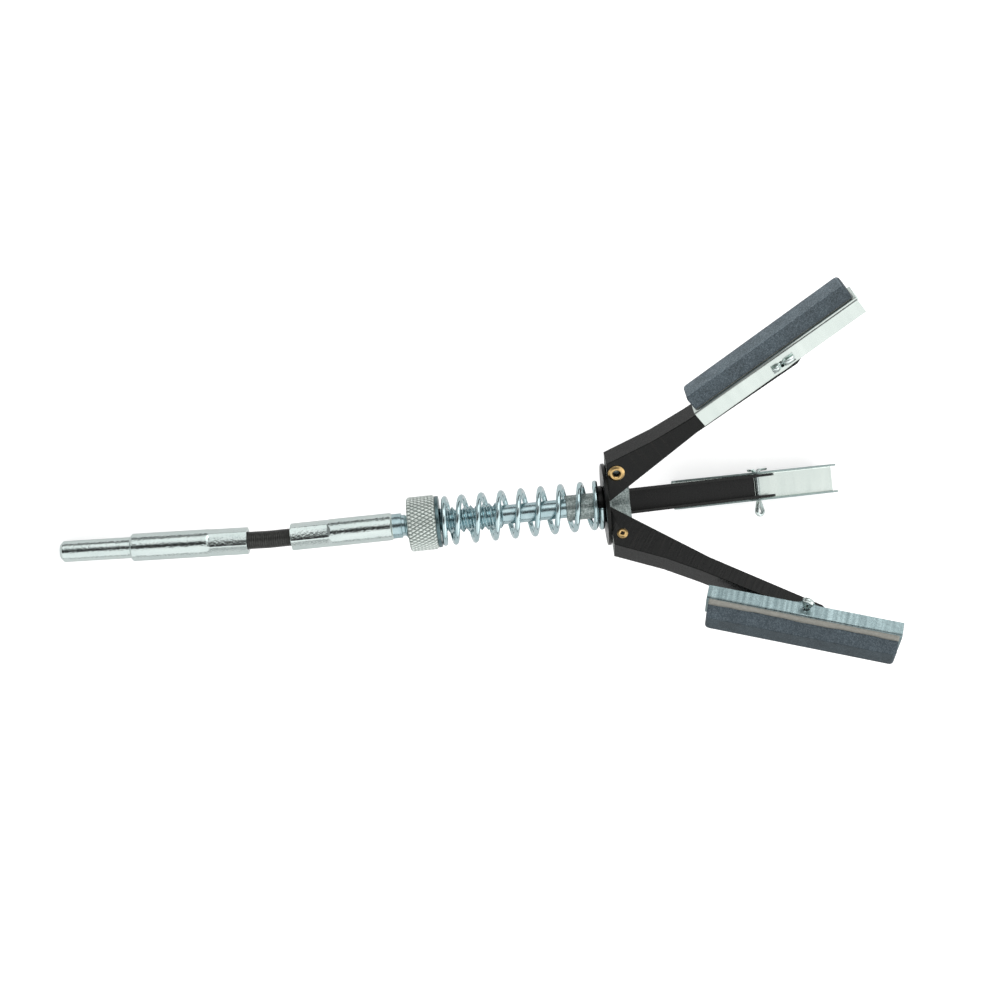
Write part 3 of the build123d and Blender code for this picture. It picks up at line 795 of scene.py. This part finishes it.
def stone_holder(leg):
    """A channel pressed from sheet, whose flanges swell a little round the split pin."""
    along, flange = holder_place(leg), FLANGES[leg]
    swell = [(SWELL_REACH * (1 - k / SWELL_STEPS),
              flange - (SWELL_DEPTH + flange) * ease(1 - abs(k / SWELL_STEPS - 1)))
             for k in range(2 * SWELL_STEPS + 1)]
    ends = [(HOLDER_REAR, FACE), (HOLDER_FRONT, FACE), (HOLDER_FRONT, flange)]
    shell = slab(f"holder_{leg}_pressed", ends + swell + [(HOLDER_REAR, flange)], HOLDER_HALF,
                 along)

    def on_face(height):
        return lambda p, q: (abs(p.y - height) + abs(q.y - height) < NEAR
                             and abs(p.z - q.z) < NEAR)

    fold_edges(shell, on_face(FACE), HOLDER_FOLD, steps=7)
    under, rear, front = FACE - HOLDER_SHEET, HOLDER_REAR - 5, HOLDER_FRONT + 5
    hollow = slab("hollow", [(rear, -20), (rear, under), (front, under), (front, -20)],
                  HOLDER_HALF - HOLDER_SHEET, along)
    fold_edges(hollow, on_face(under), HOLDER_INNER_FOLD, steps=3)
    worked(shell, [hollow, rod(HOLDER_HOLE, 8, along)])
    for face in shell.data.polygons:
        flange_edge = face.normal.y < -0.8 and face.center.y < 0
        face.material_index = int(flange_edge or abs(face.normal.x) > 0.8)
    sheet = zinc_scuffed if leg == "c" else zinc_sheet
    return settle(shell, [sheet, zinc_sheared], f"holder_{leg}", f"stone_holder_{leg}")


STONE_REAR, STONE_FRONT, STONE_HALF, STONE_TOP = -25.8, 25.0, 3.2, 8.1
STONE_FOOT = {"a": 3.25, "b": 3.7, "c": 3.7}

# How far the cement stands out beside the stone, and how high its bead climbs on it
BEAD = {"a": (-0.25, 0.0), "b": (0.1, 0.15), "c": (0.95, 0.45)}
BEAD_STEPS = 90


def cement_bed(leg):
    """The bed under the stone, squeezed out in an uneven bead along both of its sides."""
    (out, up), foot, wide = BEAD[leg], STONE_FOOT[leg], STONE_HALF + BEAD[leg][0]
    rings = []
    for k in range(BEAD_STEPS + 1):
        x = STONE_REAR + (STONE_FRONT - STONE_REAR) * k / BEAD_STEPS
        climb = up * (0.6 + 0.25 * sin(k * 0.14 + 1) + 0.15 * sin(k * 0.47))
        half = [(FACE - 0.4 * max(out, 0.02), wide), (FACE + 0.1, wide + 0.05 * out),
                (foot, wide - 0.45 * out), (foot + climb, STONE_HALF + 0.06 * (out > 0)),
                (foot + 0.02, STONE_HALF - 0.3)]
        rings.append([(x, y, -z) for y, z in half] + [(x, y, z) for y, z in half[::-1]])
    bed = skinned(f"cement_bed_{leg}", rings, holder_place(leg))
    return settle(bed, [beige_cement], f"holder_{leg}", f"stone_cement_{leg}")


def abrasive_stone(leg):
    """A stick of abrasive with its corners and edges worn soft."""
    foot = STONE_FOOT[leg]
    worn = rounded([(STONE_REAR, foot), (STONE_REAR, STONE_TOP), (STONE_FRONT, STONE_TOP),
                    (STONE_FRONT, foot)], radius=1.4, steps=6)
    stone = slab(f"stone_{leg}", worn, STONE_HALF, holder_place(leg))
    worked(stone, soften=0.3, steps=3)
    for face in stone.data.polygons:
        face.material_index = int(face.normal.y > 0.7)
    # Painted light: stone c's sides take a lighter copy and its outer face a darker one; the other
    # stones' outer faces take the lighter copy
    painted_light_copies = [lit_side_stone, shaded_face_stone] if leg == "c" else [fired_stone, lit_face_stone]
    return settle(stone, painted_light_copies, f"holder_{leg}", f"abrasive_stone_{leg}")


PIN_RADIUS, PIN_WIRE, PIN_GAP, PIN_BEND = 0.78, 0.76, 0.03, 0.9
LOOP_RADIUS, LOOP_START, LOOP_MIDDLE, LOOP_STEPS = 1.0, 4.65, 7.6, 24
TAIL_AT, TAIL_CURVE, TAILS = 5.4, 1.3, (2.9, 3.9)


def split_pin(leg):
    """Half-round wire folded into an eye, both halves through the hole and bent apart behind it."""
    rear_half = [(-TAILS[0], TAIL_AT), (-TAIL_CURVE, TAIL_AT), (-PIN_GAP, TAIL_AT - TAIL_CURVE),
                 (-PIN_GAP, -LOOP_START), (-LOOP_RADIUS, -LOOP_MIDDLE)]
    eye = [(-LOOP_RADIUS * cos(pi * k / LOOP_STEPS),
            -LOOP_MIDDLE - LOOP_RADIUS * sin(pi * k / LOOP_STEPS)) for k in range(LOOP_STEPS + 1)]
    front_half = [(LOOP_RADIUS, -LOOP_MIDDLE), (PIN_GAP, -LOOP_START),
                  (PIN_GAP, TAIL_AT - TAIL_CURVE), (TAIL_CURVE, TAIL_AT), (TAILS[1], TAIL_AT)]
    path = (rounded(rear_half, PIN_BEND, steps=8)[:-1] + eye
            + rounded(front_half, PIN_BEND, steps=8)[1:])
    section = [(PIN_WIRE * sin(pi * k / 10), -PIN_RADIUS * cos(pi * k / 10)) for k in range(11)]
    across = Vector((0, 1, 0))

    def sides(point, along):
        return across.cross(along).normalized(), across

    pin = swept(f"split_pin_{leg}", [Vector((x, 0, z)) for x, z in path], section, sides,
                pin_place(leg))
    return settle(pin, [zinc_turned], f"leg_{leg}", f"cotter_pin_{leg}")


for leg in LEG_CLOCKS:
    pressed_leg(leg)
    pivot_rivet(leg)
    stone_holder(leg)
    cement_bed(leg)
    abrasive_stone(leg)
    split_pin(leg)


# Floor, light and camera

WHITE = (1, 1, 1, 1)
FLOOR_REACH, FLOOR_DROP = 0.6, 0.0001
FLOOR_COLOUR, FLOOR_GLOW, FLOOR_MIRRORED = 0.75, 0.48, 0.15


def white_sheet_material():
    """A matt white sheet that the camera sees as plain white, and that keeps soft shadows. Bright
    metal mirrors a little of its white."""
    material, tree, _ = new_material("matt_white_sheet")
    rays = add(tree, "LightPath")
    mirrored = add(tree, "Math", {"operation": "MAXIMUM"},
                   {0: rays.outputs["Is Glossy Ray"], 1: rays.outputs["Is Transmission Ray"]})
    mirrored = add(tree, "Math", {"operation": "MULTIPLY", 1: FLOOR_MIRRORED}, {0: mirrored})
    seen = add(tree, "Math", {"operation": "MAXIMUM"},
               {0: rays.outputs["Is Camera Ray"], 1: mirrored})
    glow = add(tree, "Math", {"operation": "MULTIPLY", 1: FLOOR_GLOW}, {0: seen})
    paper = add(tree, "BsdfDiffuse", {"Color": (FLOOR_COLOUR, FLOOR_COLOUR, FLOOR_COLOUR, 1)})
    light = add(tree, "Emission", {"Color": WHITE}, {"Strength": glow})
    both = add(tree, "AddShader", links={0: paper, 1: light})
    add(tree, "OutputMaterial", links={"Surface": both})
    return material


corners = [(x * FLOOR_REACH, y * FLOOR_REACH, -FLOOR_DROP)
           for x, y in ((-1, -1), (1, -1), (1, 1), (-1, 1))]
mesh = bpy.data.meshes.new("white_sheet")
mesh.from_pydata(corners, [], [(0, 1, 2, 3)])
mesh.materials.append(white_sheet_material())
floor = bpy.data.objects.new("white_sheet", mesh)
bpy.context.scene.collection.objects.link(floor)

# The room: pale on the near side, dimmer on the far side, white to the right, and a black card
# overhead, which puts the dark middle line on every round bright piece
CARD_MIDDLE, CARD_REACH = -0.2, (0.35, 0.26)
world = bpy.data.worlds.new("white_room")
bpy.context.scene.world = world
world.use_nodes = True
tree = world.node_tree
tree.nodes.clear()
rays = add(tree, "LightPath")
way = add(tree, "TexCoord").outputs["Generated"]
axes = add(tree, "SeparateXYZ", links={"Vector": way})
upright = add(tree, "VectorRotate", {"rotation_type": "Y_AXIS", "Angle": radians(TILT)},
              {"Vector": way})
offset = add(tree, "VectorMath", {"operation": "SUBTRACT", 1: (CARD_MIDDLE, 0, 0)}, {0: upright})
spread = add(tree, "VectorMath", {"operation": "MULTIPLY",
                                  1: (1 / CARD_REACH[0], 1 / CARD_REACH[1], 0)}, {0: offset})
reach = add(tree, "VectorMath", {"operation": "LENGTH"}, {0: spread})
card = add(tree, "MapRange", {"From Min": 0.75, "From Max": 1.15, "To Min": 0.1},
           {"Value": reach.outputs["Value"]})
near = add(tree, "MapRange", {"From Min": -0.25, "From Max": 0.0, "To Min": 1.25, "To Max": 0.3},
           {"Value": axes.outputs["Y"]})
right = add(tree, "MapRange", {"From Min": 0.2, "From Max": 0.36, "To Max": 0.8},
            {"Value": axes.outputs["X"]})
low = add(tree, "MapRange", {"From Min": 0.02, "From Max": 0.18, "To Min": 0.25},
          {"Value": axes.outputs["Z"]})
room = add(tree, "Math", {"operation": "ADD"}, {0: near, 1: right})
room = add(tree, "Math", {"operation": "MULTIPLY"}, {0: room, 1: low})
room = add(tree, "Math", {"operation": "MULTIPLY"}, {0: room, 1: card})
# The camera sees a strength of 1, which is white
strength = add(tree, "MapRange", {"To Max": 1.0},
               {"Value": rays.outputs["Is Camera Ray"], "To Min": room})
sky = add(tree, "Background", {"Color": WHITE}, {"Strength": strength})
add(tree, "OutputWorld", links={"Surface": sky})


def soft_box(name, place, aim, width, height, power):
    """A rectangular lamp at a place in metres, turned to the point that it aims at."""
    lamp = bpy.data.lights.new(name, "AREA")
    lamp.shape, lamp.size, lamp.size_y, lamp.energy = "RECTANGLE", width, height, power
    thing = bpy.data.objects.new(name, lamp)
    bpy.context.scene.collection.objects.link(thing)
    thing.location = place
    thing.rotation_euler = (Vector(aim) - Vector(place)).to_track_quat("-Z", "Y").to_euler()


soft_box("far_soft_box", (-0.33, 0.575, 0.58), aim=(-0.12, 0, 0.03), width=0.56, height=0.6,
         power=1.0)
soft_box("upper_soft_box", (0.07, 0.52, 0.66), aim=(0, 0.03, 0.06), width=0.34, height=0.5,
         power=1.0)

# The camera's own axes in the tool's directions, one to a row, and its place along those axes
# from the plate's seat
VIEW = Matrix(((0.99456832, -0.10381602, -0.00748923), (0.10375750, 0.99457187, -0.00782092),
               (0.00826051, 0.00700138, 0.99994137)))
EYE = Vector((-30.202, 1.000, 451.0))
camera = bpy.data.cameras.new("camera")
camera.lens, camera.sensor_width, camera.clip_start = 57.48, 36.0, 0.01
eye = bpy.data.objects.new("camera", camera)
bpy.context.scene.collection.objects.link(eye)
eye.matrix_world = TOOL @ moved(*(VIEW.transposed() @ EYE)) @ VIEW.transposed().to_4x4()
bpy.context.scene.camera = eye
bpy.context.scene.view_settings.view_transform = "Standard"
